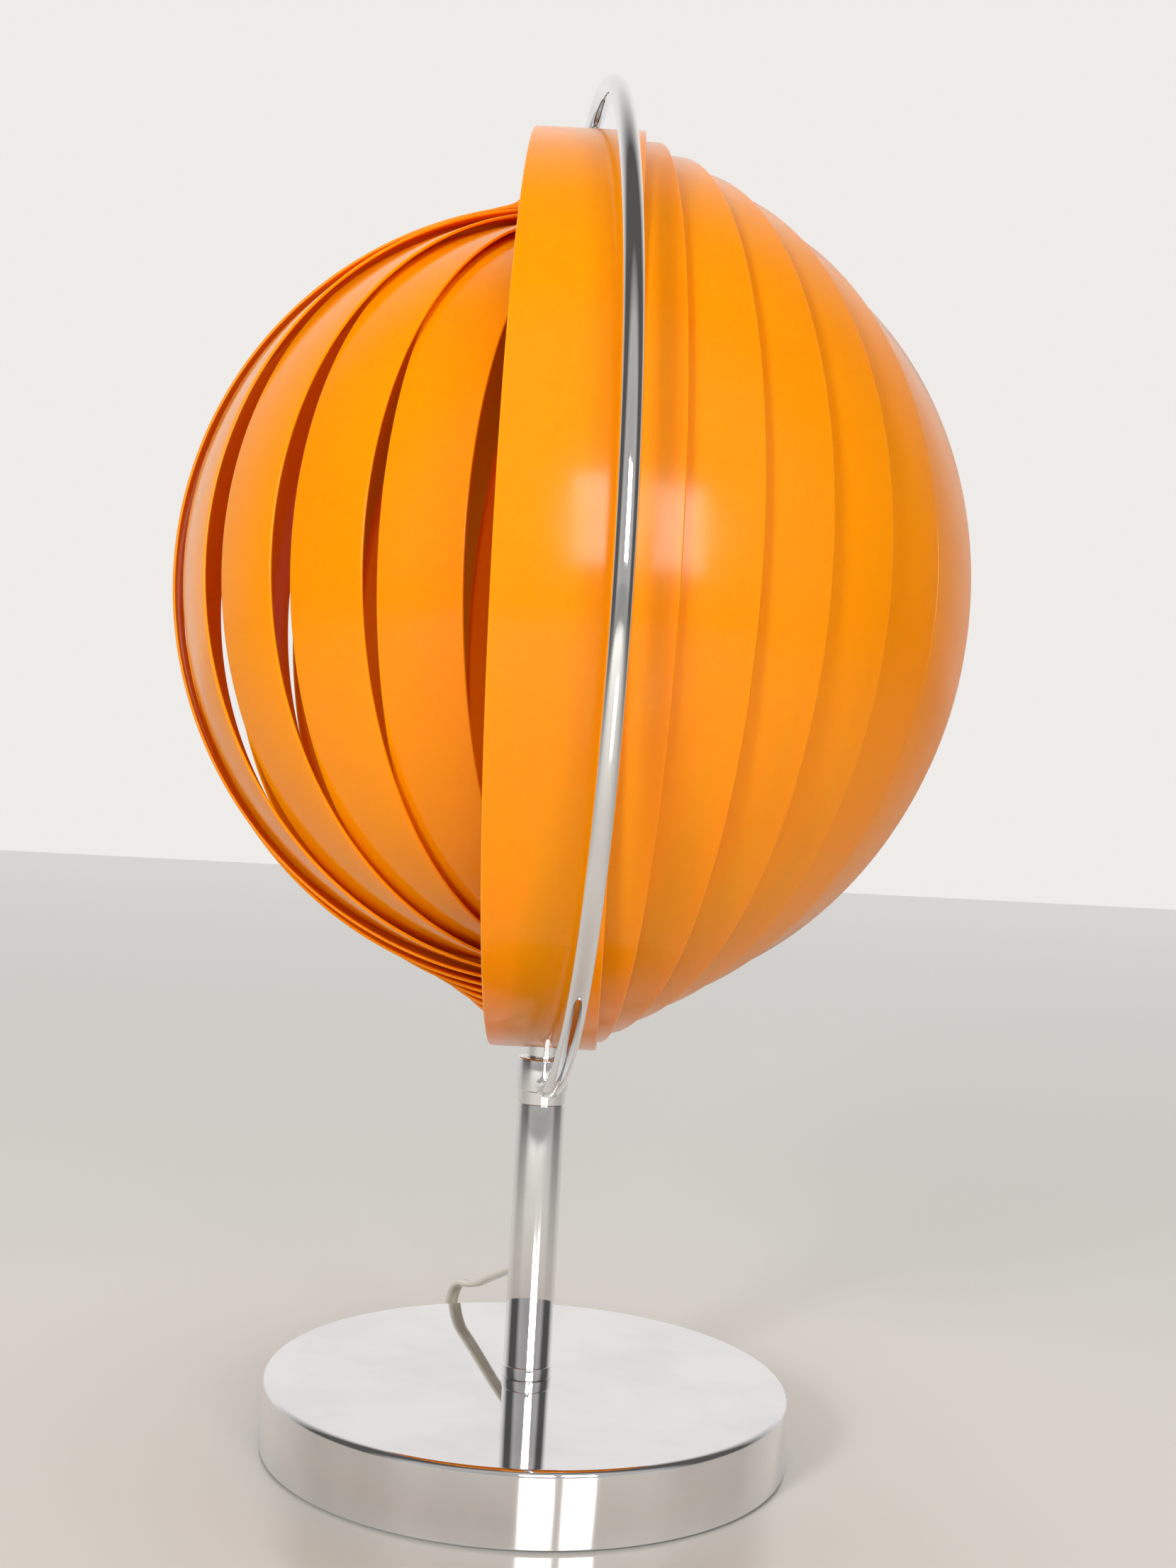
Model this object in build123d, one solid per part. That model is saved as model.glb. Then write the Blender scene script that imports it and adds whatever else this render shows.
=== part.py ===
"""Table lamp: a chrome disc base and stem, a chrome hoop, and a globe of nested rings that turn.

Units are millimetres. The origin is the centre of the base's underside, +Z is up, and the hoop
stands in the YZ plane. The lead leaves the stem towards +Y.
"""

from math import cos, radians, sin, tan
import os

from build123d import *

# Clearances of moving and fitted pieces, and how far a cut runs past the face it opens
RUNNING_CLEARANCE = 0.1
FIT_GAP = 0.05
OVERCUT = 1.0

# Base
BASE_RADIUS = 108.5
BASE_HEIGHT = 29.0
BASE_EDGE_RADIUS = 2.5
SHELL_WALL = 1.2
SHELL_BOTTOM = 1.0
FELT_THICKNESS = 1.6
FELT_RADIUS = 105.0
PLATE_THICKNESS = 1.0
WEIGHT_RADIUS = 100.0
WEIGHT_THICKNESS = 11.0
POST_RADIUS = 4.5
POST_CIRCLE = 70.0
SCREW_RADIUS = 2.0
SCREW_HEAD_RADIUS = 3.6
SCREW_HEAD_HEIGHT = 1.2
SCREW_GRIP = 8.0
SCREW_ACCESS_RADIUS = 4.6
SCREW_COUNT = 3

# Threaded tubes that clamp the stack together
STUD_RADIUS = 5.0
STUD_BORE = 3.5
STUD_BOTTOM = 6.0
BASE_NUT_FLATS = 17.0
BASE_NUT_HEIGHT = 6.0
BASE_WASHER_RADIUS = 15.0
WASHER_THICKNESS = 1.2

# Stem
STEM_RADIUS = 10.0
STEM_BORE = 9.0
STEM_TOP = 142.0
COLLAR_RADIUS = 10.4
COLLAR_HEIGHT = 5.0
PLUG_LENGTH = 16.0

# Hub, hoop and neck
HUB_STEP = 147.5
HUB_TOP = 161.0
HUB_RADIUS = 10.7
HOOP_CENTRE_Z = 355.0
HOOP_RADIUS = 205.0
HOOP_ROD_RADIUS = 3.75
HOOP_END_Y = 6.7
NECK_RADIUS = 7.1
NIPPLE_BOTTOM = 128.0
NIPPLE_TOP = 225.0
NUT_CLEARANCE = 0.7

# Globe of nested rings
GLOBE_CENTRE_Z = 355.0
BAND_OUTER_RADIUS = 188.5
BAND_PITCH = 3.2
BAND_THICKNESS = 1.2
BAND_WIDTH = 43.0
BAND_NARROWING = 0.85
BAND_AZIMUTHS = (-5.8, 0.0, 9.1, 18.4, 28.4, 39.2, 54.3, 73.0, 92.0, 109.5, 125.7, 141.0, 155.1, 171.5)
LOWER_SPACER_RADIUS = 9.5
LOWER_SPACER_THICKNESS = 1.3
LOWER_SPACER_GAP = 0.48
UPPER_SPACER_RADIUS = 7.0
UPPER_SPACER_THICKNESS = 1.45
UPPER_SPACER_GAP = 0.2
LOWER_NUT_FLATS = 16.0
LOWER_NUT_HEIGHT = 5.0

# Top pivot
PIVOT_RADIUS = 3.0
PIVOT_BOTTOM = 494.0
BALL_RADIUS = 5.75
BALL_FLAT_Z = 544.75
HOOP_STUD_BOTTOM = 547.0
HOOP_STUD_RADIUS = 2.0
HOOP_STUD_TOP = 562.5
TOP_WASHER_RADIUS = 6.0
TOP_WASHER_THICKNESS = 1.0
PIVOT_NUT_FLATS = 10.0
PIVOT_NUT_HEIGHT = 4.4

# Lampholder and bulb
HOLDER_BOTTOM = 223.0
HOLDER_CAP_HEIGHT = 13.0
HOLDER_CAP_LOW_RADIUS = 10.0
HOLDER_RADIUS = 18.0
HOLDER_HEIGHT = 40.0
HOLDER_BORE = 13.6
HOLDER_FLOOR = 4.0
CONTACT_RADIUS = 5.0
CONTACT_HEIGHT = 2.5
BULB_CAP_RADIUS = 13.1
BULB_CAP_HEIGHT = 27.0
BULB_RADIUS = 30.0
BULB_HEIGHT = 108.0
BULB_NECK_RADIUS = 12.8
BULB_SHOULDER_ANGLE = 35.0
BULB_GLASS_THICKNESS = 0.8

# Lead: strain relief, free lead, coil and plug
LEAD_RADIUS = 3.0
INNER_LEAD_RADIUS = 2.5
INNER_LEAD_BEND = 8.0
LEAD_EXIT_Z = 62.0
RELIEF_END_Y = 32.0
RELIEF_HOLE_RADIUS = 4.3
RELIEF_FLANGE_RADIUS = 5.6
RELIEF_FLANGE_END_Y = 12.5
RELIEF_TIP_RADIUS = 3.4
RELIEF_STEP = 0.6
RELIEF_INNER_Y = 8.0
BEND_SHARE = 0.45
FLOOR_Z = 3.1
LEAD_ROUTE = (
    (0, RELIEF_END_Y, LEAD_EXIT_Z),
    (-3, 48, 61),
    (-11, 67, 52),
    (-20, 88, 41.5),
    (-26, 109, 38),
    (-28.5, 125, 26),
    (-28.5, 134, 11),
    (-26, 149, FLOOR_Z),
    (-21.5, 163, FLOOR_Z),
)
COIL_CENTRE = (16.0, 151.2)
COIL_INNER_RADIUS = 18.0
COIL_OUTER_RADIUS = 42.0
COIL_HEIGHT = 6.5
PLUG_X = 70.0
PLUG_FACE_Y = 108.0
PLUG_BODY_LENGTH = 26.0
PLUG_WIDTH = 24.0
PLUG_HEIGHT = 12.0
PLUG_EDGE_RADIUS = 3.0
PLUG_CENTRE_Z = 6.2
PLUG_RELIEF_LENGTH = 10.0
PLUG_RELIEF_RADIUS = 5.0
PLUG_RELIEF_TIP = 3.4
PLUG_RELIEF_OVERLAP = 2.0
BLADE_LENGTH = 16.5
BLADE_THICKNESS = 1.5
BLADE_HEIGHT = 6.35
BLADE_SPACING = 12.7
BLADE_ROOT = 6.0
PLUG_END_Y = PLUG_FACE_Y + PLUG_BODY_LENGTH + PLUG_RELIEF_LENGTH
TAIL_ROUTE = (
    (20, 190, FLOOR_Z),
    (37, 190.5, FLOOR_Z),
    (55, 183, FLOOR_Z),
    (66, 169, FLOOR_Z),
    (70.5, 156, 4.2),
    (PLUG_X, PLUG_END_Y, PLUG_CENTRE_Z),
)

# Levels worked out from the sizes above
PLATE_BOTTOM = FELT_THICKNESS
PLATE_TOP = PLATE_BOTTOM + PLATE_THICKNESS
SHELL_CEILING = BASE_HEIGHT - SHELL_WALL
WEIGHT_BOTTOM = SHELL_CEILING - WEIGHT_THICKNESS
COLLAR_TOP = BASE_HEIGHT + COLLAR_HEIGHT
HOLDER_BODY_BOTTOM = HOLDER_BOTTOM + HOLDER_CAP_HEIGHT
CONTACT_BOTTOM = HOLDER_BODY_BOTTOM + HOLDER_FLOOR
BULB_BOTTOM = CONTACT_BOTTOM + CONTACT_HEIGHT


def rod(radius, bottom, top):
    """Solid cylinder about Z between two heights."""
    return Pos(0, 0, (bottom + top) / 2) * Cylinder(radius, top - bottom)


def tube(outer, inner, bottom, top):
    """Hollow cylinder about Z between two heights."""
    return rod(outer, bottom, top) - rod(inner, bottom - OVERCUT, top + OVERCUT)


def hex_nut(across_flats, bore, bottom, top):
    """Hexagon nut about Z."""
    outline = RegularPolygon(across_flats / 2, 6, major_radius=False)
    return Pos(0, 0, bottom) * extrude(outline, top - bottom) - rod(bore, bottom - OVERCUT, top + OVERCUT)


def band_radius(index):
    """Outer radius of one ring of the globe, counted from the outermost."""
    return BAND_OUTER_RADIUS - BAND_PITCH * index


def around(count, radius):
    """Places evenly spaced on a circle about Z."""
    return [Pos(radius * cos(radians(360 * i / count)), radius * sin(radians(360 * i / count)), 0)
            for i in range(count)]


def bent_tube(points, radius, label):
    """Tube along straight runs joined by tangent arcs as large as the runs allow."""
    corners = [Vector(*p) for p in points]
    bends = []
    for before, at, after in zip(corners, corners[1:], corners[2:]):
        turn = radians((at - before).get_angle(after - at))
        shorter = min((at - before).length, (after - at).length)
        bends.append(BEND_SHARE * shorter / tan(turn / 2))
    path = FilletPolyline(*corners, radius=bends)
    section = Plane(origin=path @ 0, z_dir=path % 0) * Circle(radius)
    solid = sweep(section, path=path)
    ratio = solid.volume / (section.area * path.length)
    print(label, "bends", [round(b, 1) for b in bends], "length", round(path.length, 1),
          "volume ratio", round(ratio, 4))
    return solid


def base_shell():
    """Spun disc with a flat top, a small rounded edge and a plain side, open underneath."""
    outside = rod(BASE_RADIUS, SHELL_BOTTOM, BASE_HEIGHT)
    outside = fillet(outside.edges().sort_by(Axis.Z)[-1], BASE_EDGE_RADIUS)
    inside = rod(BASE_RADIUS - SHELL_WALL, SHELL_BOTTOM - OVERCUT, SHELL_CEILING)
    inside = fillet(inside.edges().sort_by(Axis.Z)[-1], BASE_EDGE_RADIUS - SHELL_WALL)
    return outside - inside - rod(STUD_RADIUS + FIT_GAP, 0, BASE_HEIGHT + OVERCUT)


def base_parts():
    """The disc base: cover, weight, clamp, bottom plate with its screws, and felt."""
    posts = around(SCREW_COUNT, POST_CIRCLE)
    screw_bottom = PLATE_BOTTOM - SCREW_HEAD_HEIGHT
    screw_top = PLATE_TOP + SCREW_GRIP
    screw = rod(SCREW_HEAD_RADIUS, screw_bottom, PLATE_BOTTOM)
    screw += rod(SCREW_RADIUS, PLATE_BOTTOM, screw_top)
    post = rod(POST_RADIUS, PLATE_TOP, WEIGHT_BOTTOM)
    post -= rod(SCREW_RADIUS + FIT_GAP, 0, screw_top + OVERCUT)
    felt = rod(FELT_RADIUS, 0, FELT_THICKNESS)
    plate = rod(BASE_RADIUS - SHELL_WALL - 2 * RUNNING_CLEARANCE, PLATE_BOTTOM, PLATE_TOP)
    for place in posts:
        felt -= place * rod(SCREW_ACCESS_RADIUS, -OVERCUT, FELT_THICKNESS + OVERCUT)
        plate -= place * rod(SCREW_RADIUS + FIT_GAP, 0, PLATE_TOP + OVERCUT)
    washer_bottom = WEIGHT_BOTTOM - WASHER_THICKNESS
    bore = STUD_RADIUS + FIT_GAP
    return {
        "felt_pad": felt,
        "base_plate": plate,
        "base_plate_screws": Compound([place * screw for place in posts]),
        "base_posts": Compound([place * post for place in posts]),
        "base_shell": base_shell(),
        "base_weight": tube(WEIGHT_RADIUS, bore, WEIGHT_BOTTOM, SHELL_CEILING),
        "base_washer": tube(BASE_WASHER_RADIUS, bore, washer_bottom, WEIGHT_BOTTOM),
        "base_lock_nut": hex_nut(BASE_NUT_FLATS, bore, washer_bottom - BASE_NUT_HEIGHT, washer_bottom),
        "base_stud": tube(STUD_RADIUS, STUD_BORE, STUD_BOTTOM, COLLAR_TOP + PLUG_LENGTH),
    }


def stem_parts():
    """The tube between base and hub, its end plugs and the hole for the lead."""
    bore = STUD_RADIUS + FIT_GAP
    lead_hole = Pos(0, STEM_RADIUS, LEAD_EXIT_Z) * Rot(90, 0, 0) * Cylinder(RELIEF_HOLE_RADIUS, STEM_RADIUS)
    plug_radius = STEM_BORE - FIT_GAP
    return {
        "foot_collar": tube(COLLAR_RADIUS, bore, BASE_HEIGHT, COLLAR_TOP),
        "stem_tube": tube(STEM_RADIUS, STEM_BORE, COLLAR_TOP, STEM_TOP) - lead_hole,
        "stem_lower_plug": tube(plug_radius, bore, COLLAR_TOP, COLLAR_TOP + PLUG_LENGTH),
        "stem_upper_plug": tube(plug_radius, bore, STEM_TOP - PLUG_LENGTH, STEM_TOP),
    }


def hoop_ring(rod_radius, end_y):
    """Ring in the YZ plane with a gap at its lowest point."""
    ring = Pos(0, 0, HOOP_CENTRE_Z) * Rot(0, 90, 0) * Torus(HOOP_RADIUS, rod_radius)
    gap = Pos(0, 0, HOOP_CENTRE_Z - HOOP_RADIUS) * Box(4 * rod_radius, 2 * end_y, 4 * rod_radius)
    return ring - gap


def hub_parts():
    """The hub that takes the hoop's ends, and the threaded tube and sleeve above it."""
    bore = STUD_RADIUS + FIT_GAP
    hub = tube(STEM_RADIUS, bore, STEM_TOP, HUB_STEP) + tube(HUB_RADIUS, bore, HUB_STEP, HUB_TOP)
    hub -= hoop_ring(HOOP_ROD_RADIUS + FIT_GAP, HOOP_END_Y - FIT_GAP)
    lowest_band = GLOBE_CENTRE_Z - band_radius(len(BAND_AZIMUTHS) - 1)
    nut_bottom = lowest_band + BAND_THICKNESS + NUT_CLEARANCE
    return {
        "hub": hub,
        "hub_nipple": tube(STUD_RADIUS, STUD_BORE, NIPPLE_BOTTOM, NIPPLE_TOP),
        "neck_sleeve": tube(NECK_RADIUS, bore, HUB_TOP, nut_bottom),
        "lower_lock_nut": hex_nut(LOWER_NUT_FLATS, bore, nut_bottom, nut_bottom + LOWER_NUT_HEIGHT),
    }


def top_parts():
    """The hoop, the ball under its crest and the pivot that holds the rings from above."""
    stud_hole = rod(HOOP_STUD_RADIUS + FIT_GAP, HOOP_STUD_BOTTOM, HOOP_STUD_TOP)
    ball_centre = HOOP_CENTRE_Z + HOOP_RADIUS - HOOP_ROD_RADIUS - BALL_RADIUS
    ball = Pos(0, 0, ball_centre) * Sphere(BALL_RADIUS) - rod(2 * BALL_RADIUS, 0, BALL_FLAT_Z)
    pivot_hole = rod(PIVOT_RADIUS + FIT_GAP, 0, HOOP_STUD_BOTTOM)
    innermost_top = GLOBE_CENTRE_Z + band_radius(len(BAND_AZIMUTHS) - 1) - BAND_THICKNESS
    nut_top = innermost_top - NUT_CLEARANCE
    bore = PIVOT_RADIUS + FIT_GAP
    return {
        "hoop": hoop_ring(HOOP_ROD_RADIUS, HOOP_END_Y) - stud_hole,
        "hoop_stud": rod(HOOP_STUD_RADIUS, HOOP_STUD_BOTTOM, HOOP_STUD_TOP),
        "ball_finial": ball - stud_hole - pivot_hole,
        "top_washer": tube(TOP_WASHER_RADIUS, bore, BALL_FLAT_Z - TOP_WASHER_THICKNESS, BALL_FLAT_Z),
        "top_pivot_rod": rod(PIVOT_RADIUS, PIVOT_BOTTOM, HOOP_STUD_BOTTOM),
        "top_pivot_nut": hex_nut(PIVOT_NUT_FLATS, bore, nut_top - PIVOT_NUT_HEIGHT, nut_top),
    }


def band(index):
    """One ring: a short tube on its side, narrower towards the middle, pierced at top and bottom."""
    outer = band_radius(index)
    width = BAND_WIDTH - BAND_NARROWING * index
    inside = Cylinder(outer - BAND_THICKNESS, width + 2 * OVERCUT)
    ring = Rot(0, 90, 0) * (Cylinder(outer, width) - inside)
    ring -= rod(NECK_RADIUS + RUNNING_CLEARANCE, -outer - OVERCUT, 0)
    ring -= rod(PIVOT_RADIUS + RUNNING_CLEARANCE, 0, outer + OVERCUT)
    return Pos(0, 0, GLOBE_CENTRE_Z) * Rot(0, 0, BAND_AZIMUTHS[index]) * ring


def globe_parts():
    """All the rings and the thin spacers that keep them apart at both pivots."""
    parts = {f"band_{i + 1:02d}": band(i) for i in range(len(BAND_AZIMUTHS))}
    lower = []
    upper = []
    for i in range(len(BAND_AZIMUTHS) - 1):
        low = GLOBE_CENTRE_Z - band_radius(i) + BAND_THICKNESS + LOWER_SPACER_GAP
        high = GLOBE_CENTRE_Z + band_radius(i + 1) + UPPER_SPACER_GAP
        lower.append(tube(LOWER_SPACER_RADIUS, NECK_RADIUS + FIT_GAP, low, low + LOWER_SPACER_THICKNESS))
        upper.append(tube(UPPER_SPACER_RADIUS, PIVOT_RADIUS + FIT_GAP, high, high + UPPER_SPACER_THICKNESS))
    parts["lower_spacers"] = Compound(lower)
    parts["upper_spacers"] = Compound(upper)
    return parts


def bulb_outline(inset):
    """Half outline of the bulb's glass, drawn in from its outside by the inset."""
    radius = BULB_RADIUS - inset
    centre = BULB_BOTTOM + BULB_HEIGHT - BULB_RADIUS
    neck = BULB_NECK_RADIUS - inset
    foot = BULB_BOTTOM + BULB_CAP_HEIGHT
    angle = radians(BULB_SHOULDER_ANGLE)
    shoulder = (radius * cos(angle), 0, centre - radius * sin(angle))
    neck_top = shoulder[2] - (shoulder[0] - neck) / tan(angle)
    dome = ThreePointArc((0, 0, centre + radius), (radius, 0, centre), shoulder)
    side = Polyline(shoulder, (neck, 0, neck_top), (neck, 0, foot), (0, 0, foot), (0, 0, centre + radius))
    return revolve(make_face([dome, side]), Axis.Z)


def lamp_parts():
    """The lampholder and the bulb in it."""
    bore = STUD_RADIUS + FIT_GAP
    cap_middle = (HOLDER_BOTTOM + HOLDER_BODY_BOTTOM) / 2
    cap = Pos(0, 0, cap_middle) * Cone(HOLDER_CAP_LOW_RADIUS, HOLDER_RADIUS, HOLDER_CAP_HEIGHT)
    cup = rod(HOLDER_RADIUS, HOLDER_BODY_BOTTOM, HOLDER_BODY_BOTTOM + HOLDER_HEIGHT)
    cup -= rod(HOLDER_BORE, CONTACT_BOTTOM, HOLDER_BODY_BOTTOM + HOLDER_HEIGHT + OVERCUT)
    cup -= rod(INNER_LEAD_RADIUS + FIT_GAP, HOLDER_BOTTOM, CONTACT_BOTTOM + OVERCUT)
    return {
        "lampholder_cap": cap - rod(bore, HOLDER_BOTTOM - OVERCUT, HOLDER_BODY_BOTTOM + OVERCUT),
        "lampholder_body": cup,
        "lampholder_contact": rod(CONTACT_RADIUS, CONTACT_BOTTOM, BULB_BOTTOM),
        "bulb_cap": rod(BULB_CAP_RADIUS, BULB_BOTTOM, BULB_BOTTOM + BULB_CAP_HEIGHT),
        "bulb_glass": bulb_outline(0) - bulb_outline(BULB_GLASS_THICKNESS),
    }


def along_y(radius, end_radius, start, end):
    """Round bar or cone along +Y at the lead's exit height."""
    shape = Cylinder(radius, end - start) if radius == end_radius else Cone(radius, end_radius, end - start)
    return Pos(0, (start + end) / 2, LEAD_EXIT_Z) * Rot(-90, 0, 0) * shape


def lead_parts():
    """Strain relief, the lead inside the lamp, the free lead, its coil and the plug."""
    neck_radius = RELIEF_HOLE_RADIUS - FIT_GAP
    relief = along_y(RELIEF_FLANGE_RADIUS, RELIEF_FLANGE_RADIUS, 0, RELIEF_FLANGE_END_Y)
    sleeve_radius = RELIEF_FLANGE_RADIUS - RELIEF_STEP
    relief += along_y(sleeve_radius, RELIEF_TIP_RADIUS, RELIEF_FLANGE_END_Y, RELIEF_END_Y)
    relief -= rod(STEM_RADIUS + FIT_GAP, 0, STEM_TOP)
    relief += along_y(neck_radius, neck_radius, RELIEF_INNER_Y, RELIEF_FLANGE_END_Y)
    relief -= along_y(INNER_LEAD_RADIUS + FIT_GAP, INNER_LEAD_RADIUS + FIT_GAP, 0, RELIEF_END_Y + OVERCUT)
    inner_path = FilletPolyline(
        (0, RELIEF_END_Y, LEAD_EXIT_Z), (0, 0, LEAD_EXIT_Z), (0, 0, CONTACT_BOTTOM), radius=INNER_LEAD_BEND)
    inner_section = Plane(origin=inner_path @ 0, z_dir=inner_path % 0) * Circle(INNER_LEAD_RADIUS)
    coil = tube(COIL_OUTER_RADIUS, COIL_INNER_RADIUS, 0, COIL_HEIGHT)
    return {
        "strain_relief": relief,
        "inner_lead": sweep(inner_section, path=inner_path),
        "cord_run": bent_tube(LEAD_ROUTE, LEAD_RADIUS, "cord_run"),
        "cord_coil": Pos(*COIL_CENTRE, 0) * coil,
        "cord_tail": bent_tube(TAIL_ROUTE, LEAD_RADIUS, "cord_tail"),
    }


def plug_parts():
    """Two-blade plug lying flat, its blades towards the base."""
    middle = PLUG_FACE_Y + PLUG_BODY_LENGTH / 2
    body = Box(PLUG_WIDTH, PLUG_BODY_LENGTH, PLUG_HEIGHT)
    body = fillet(body.edges(), PLUG_EDGE_RADIUS)
    relief_length = PLUG_RELIEF_LENGTH + PLUG_RELIEF_OVERLAP
    relief_middle = PLUG_END_Y - relief_length / 2
    relief = Rot(-90, 0, 0) * Cone(PLUG_RELIEF_RADIUS, PLUG_RELIEF_TIP, relief_length)
    body = Pos(PLUG_X, middle, PLUG_CENTRE_Z) * body + Pos(PLUG_X, relief_middle, PLUG_CENTRE_Z) * relief
    blade = Box(BLADE_THICKNESS, BLADE_LENGTH + BLADE_ROOT, BLADE_HEIGHT)
    blade_middle = PLUG_FACE_Y + BLADE_ROOT - (BLADE_LENGTH + BLADE_ROOT) / 2
    places = [Pos(PLUG_X + side * BLADE_SPACING / 2, blade_middle, PLUG_CENTRE_Z) for side in (-1, 1)]
    for place in places:
        body -= place * blade
    return {"plug_body": body, "plug_blades": Compound([place * blade for place in places])}


def main():
    """Build every sub-part and write one STEP file for each."""
    os.makedirs("parts", exist_ok=True)
    groups = (base_parts, stem_parts, hub_parts, top_parts, globe_parts, lamp_parts, lead_parts, plug_parts)
    for group in groups:
        for name, shape in group().items():
            export_step(shape, f"parts/{name}.step")


main()
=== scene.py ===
"""Looks of a chrome table lamp whose globe is fourteen nested glossy rings round a bulb."""

import logging
from dataclasses import dataclass
from enum import Enum
from math import cos, pi, radians, sin
from typing import Optional, Sequence

import bmesh
import bpy
import numpy as np
from mathutils import Matrix, Vector


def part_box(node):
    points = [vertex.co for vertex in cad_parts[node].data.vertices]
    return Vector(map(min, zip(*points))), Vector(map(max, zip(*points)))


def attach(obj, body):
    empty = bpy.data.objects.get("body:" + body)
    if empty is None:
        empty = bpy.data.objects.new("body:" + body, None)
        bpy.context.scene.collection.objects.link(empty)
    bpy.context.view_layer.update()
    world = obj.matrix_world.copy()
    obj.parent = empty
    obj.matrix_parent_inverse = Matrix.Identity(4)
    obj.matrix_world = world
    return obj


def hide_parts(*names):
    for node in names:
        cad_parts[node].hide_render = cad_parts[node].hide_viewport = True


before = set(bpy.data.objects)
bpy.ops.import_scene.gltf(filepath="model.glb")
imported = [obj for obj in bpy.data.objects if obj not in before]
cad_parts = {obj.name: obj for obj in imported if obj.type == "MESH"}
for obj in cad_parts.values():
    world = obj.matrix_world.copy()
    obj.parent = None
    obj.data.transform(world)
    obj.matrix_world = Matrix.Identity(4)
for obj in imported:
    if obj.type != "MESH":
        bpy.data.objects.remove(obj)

LOG = logging.getLogger("lamp")
MM = 0.001
STUD_BORE = 5.05 * MM
PIVOT_BORE = 3.05 * MM
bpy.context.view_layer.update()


class Metal(Enum):
    """Which way a metal part was finished."""

    MIRROR = "mirror"
    PLATED = "plated"
    CAST = "cast"


def new_material(name: str) -> tuple[bpy.types.Material, bpy.types.Node]:
    """Make a node material and return it with its main shader.

    Args:
        name: the material's name.

    Returns:
        The material and its Principled shader node.
    """
    material = bpy.data.materials.new(name)
    material.use_nodes = True
    return material, material.node_tree.nodes["Principled BSDF"]


def noise(material: bpy.types.Material, scale: float, detail: float = 3.0,
          stretch: Sequence[float] = (1.0, 1.0, 1.0)) -> bpy.types.NodeSocket:
    """Add a noise pattern on Object coordinates.

    Args:
        material: the material that gets the nodes.
        scale: pattern repeats in a metre.
        detail: octaves of finer noise.
        stretch: scale of the coordinates along each axis.

    Returns:
        The noise's value socket.
    """
    nodes, links = material.node_tree.nodes, material.node_tree.links
    place = nodes.new("ShaderNodeTexCoord")
    mapping = nodes.new("ShaderNodeMapping")
    mapping.inputs["Scale"].default_value = stretch
    pattern = nodes.new("ShaderNodeTexNoise")
    pattern.inputs["Scale"].default_value = scale
    pattern.inputs["Detail"].default_value = detail
    links.new(place.outputs["Object"], mapping.inputs["Vector"])
    links.new(mapping.outputs["Vector"], pattern.inputs["Vector"])
    return pattern.outputs["Fac"]


def spread(material: bpy.types.Material, value: bpy.types.NodeSocket, low: float, high: float,
           start: float = 0.3, end: float = 0.7) -> bpy.types.NodeSocket:
    """Map a pattern's middle range onto two limits.

    Args:
        material: the material that gets the node.
        value: the pattern.
        low: result at the start of the range.
        high: result at the end of the range.
        start: pattern value that gives low.
        end: pattern value that gives high.

    Returns:
        The mapped socket.
    """
    node = material.node_tree.nodes.new("ShaderNodeMapRange")
    node.inputs["From Min"].default_value = start
    node.inputs["From Max"].default_value = end
    node.inputs["To Min"].default_value = low
    node.inputs["To Max"].default_value = high
    material.node_tree.links.new(value, node.inputs["Value"])
    return node.outputs["Result"]


def tint(material: bpy.types.Material, value: bpy.types.NodeSocket,
         stops: Sequence[tuple[float, tuple[float, float, float]]]) -> bpy.types.NodeSocket:
    """Colour a pattern with a ramp.

    Args:
        material: the material that gets the node.
        value: the pattern.
        stops: place on the ramp and linear colour of each stop.

    Returns:
        The colour socket.
    """
    node = material.node_tree.nodes.new("ShaderNodeValToRGB")
    ramp = node.color_ramp
    while len(ramp.elements) < len(stops):
        ramp.elements.new(0.5)
    for element, (place, colour) in zip(ramp.elements, stops):
        element.position = place
        element.color = (*colour, 1.0)
    material.node_tree.links.new(value, node.inputs["Fac"])
    return node.outputs["Color"]


def relief(material: bpy.types.Material, height: bpy.types.NodeSocket, strength: float,
           distance: float) -> None:
    """Bump the main shader's surface by a height pattern.

    Args:
        material: the material that gets the node.
        height: the pattern.
        strength: how much of the bump shows.
        distance: depth in metres.
    """
    node = material.node_tree.nodes.new("ShaderNodeBump")
    node.inputs["Strength"].default_value = strength
    node.inputs["Distance"].default_value = distance
    links = material.node_tree.links
    links.new(height, node.inputs["Height"])
    links.new(node.outputs["Normal"], material.node_tree.nodes["Principled BSDF"].inputs["Normal"])


@dataclass(frozen=True)
class ShadePlastic:
    """Glossy orange moulded plastic with a faint flow pattern and a hard clear skin."""

    bright: tuple[float, float, float] = (0.985, 0.26, 0.0)
    deep: tuple[float, float, float] = (0.965, 0.24, 0.0)

    def build(self) -> bpy.types.Material:
        """Make the material."""
        material, shader = new_material("orange_shade_plastic")
        links = material.node_tree.links
        flow = noise(material, 9.0, 2.0)
        links.new(tint(material, flow, ((0.35, self.deep), (0.65, self.bright))), shader.inputs["Base Color"])
        links.new(spread(material, noise(material, 60.0, 4.0), 0.13, 0.22), shader.inputs["Roughness"])
        shader.inputs["IOR"].default_value = 1.49
        shader.inputs["Specular IOR Level"].default_value = 0.2
        shader.inputs["Coat Weight"].default_value = 0.12
        shader.inputs["Coat Roughness"].default_value = 0.12
        shader.inputs["Subsurface Weight"].default_value = 0.8
        shader.inputs["Subsurface Radius"].default_value = (1.0, 0.5, 0.06)
        shader.inputs["Subsurface Scale"].default_value = 0.005
        relief(material, noise(material, 220.0, 2.0), 0.04, 0.0002)
        return material


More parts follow.
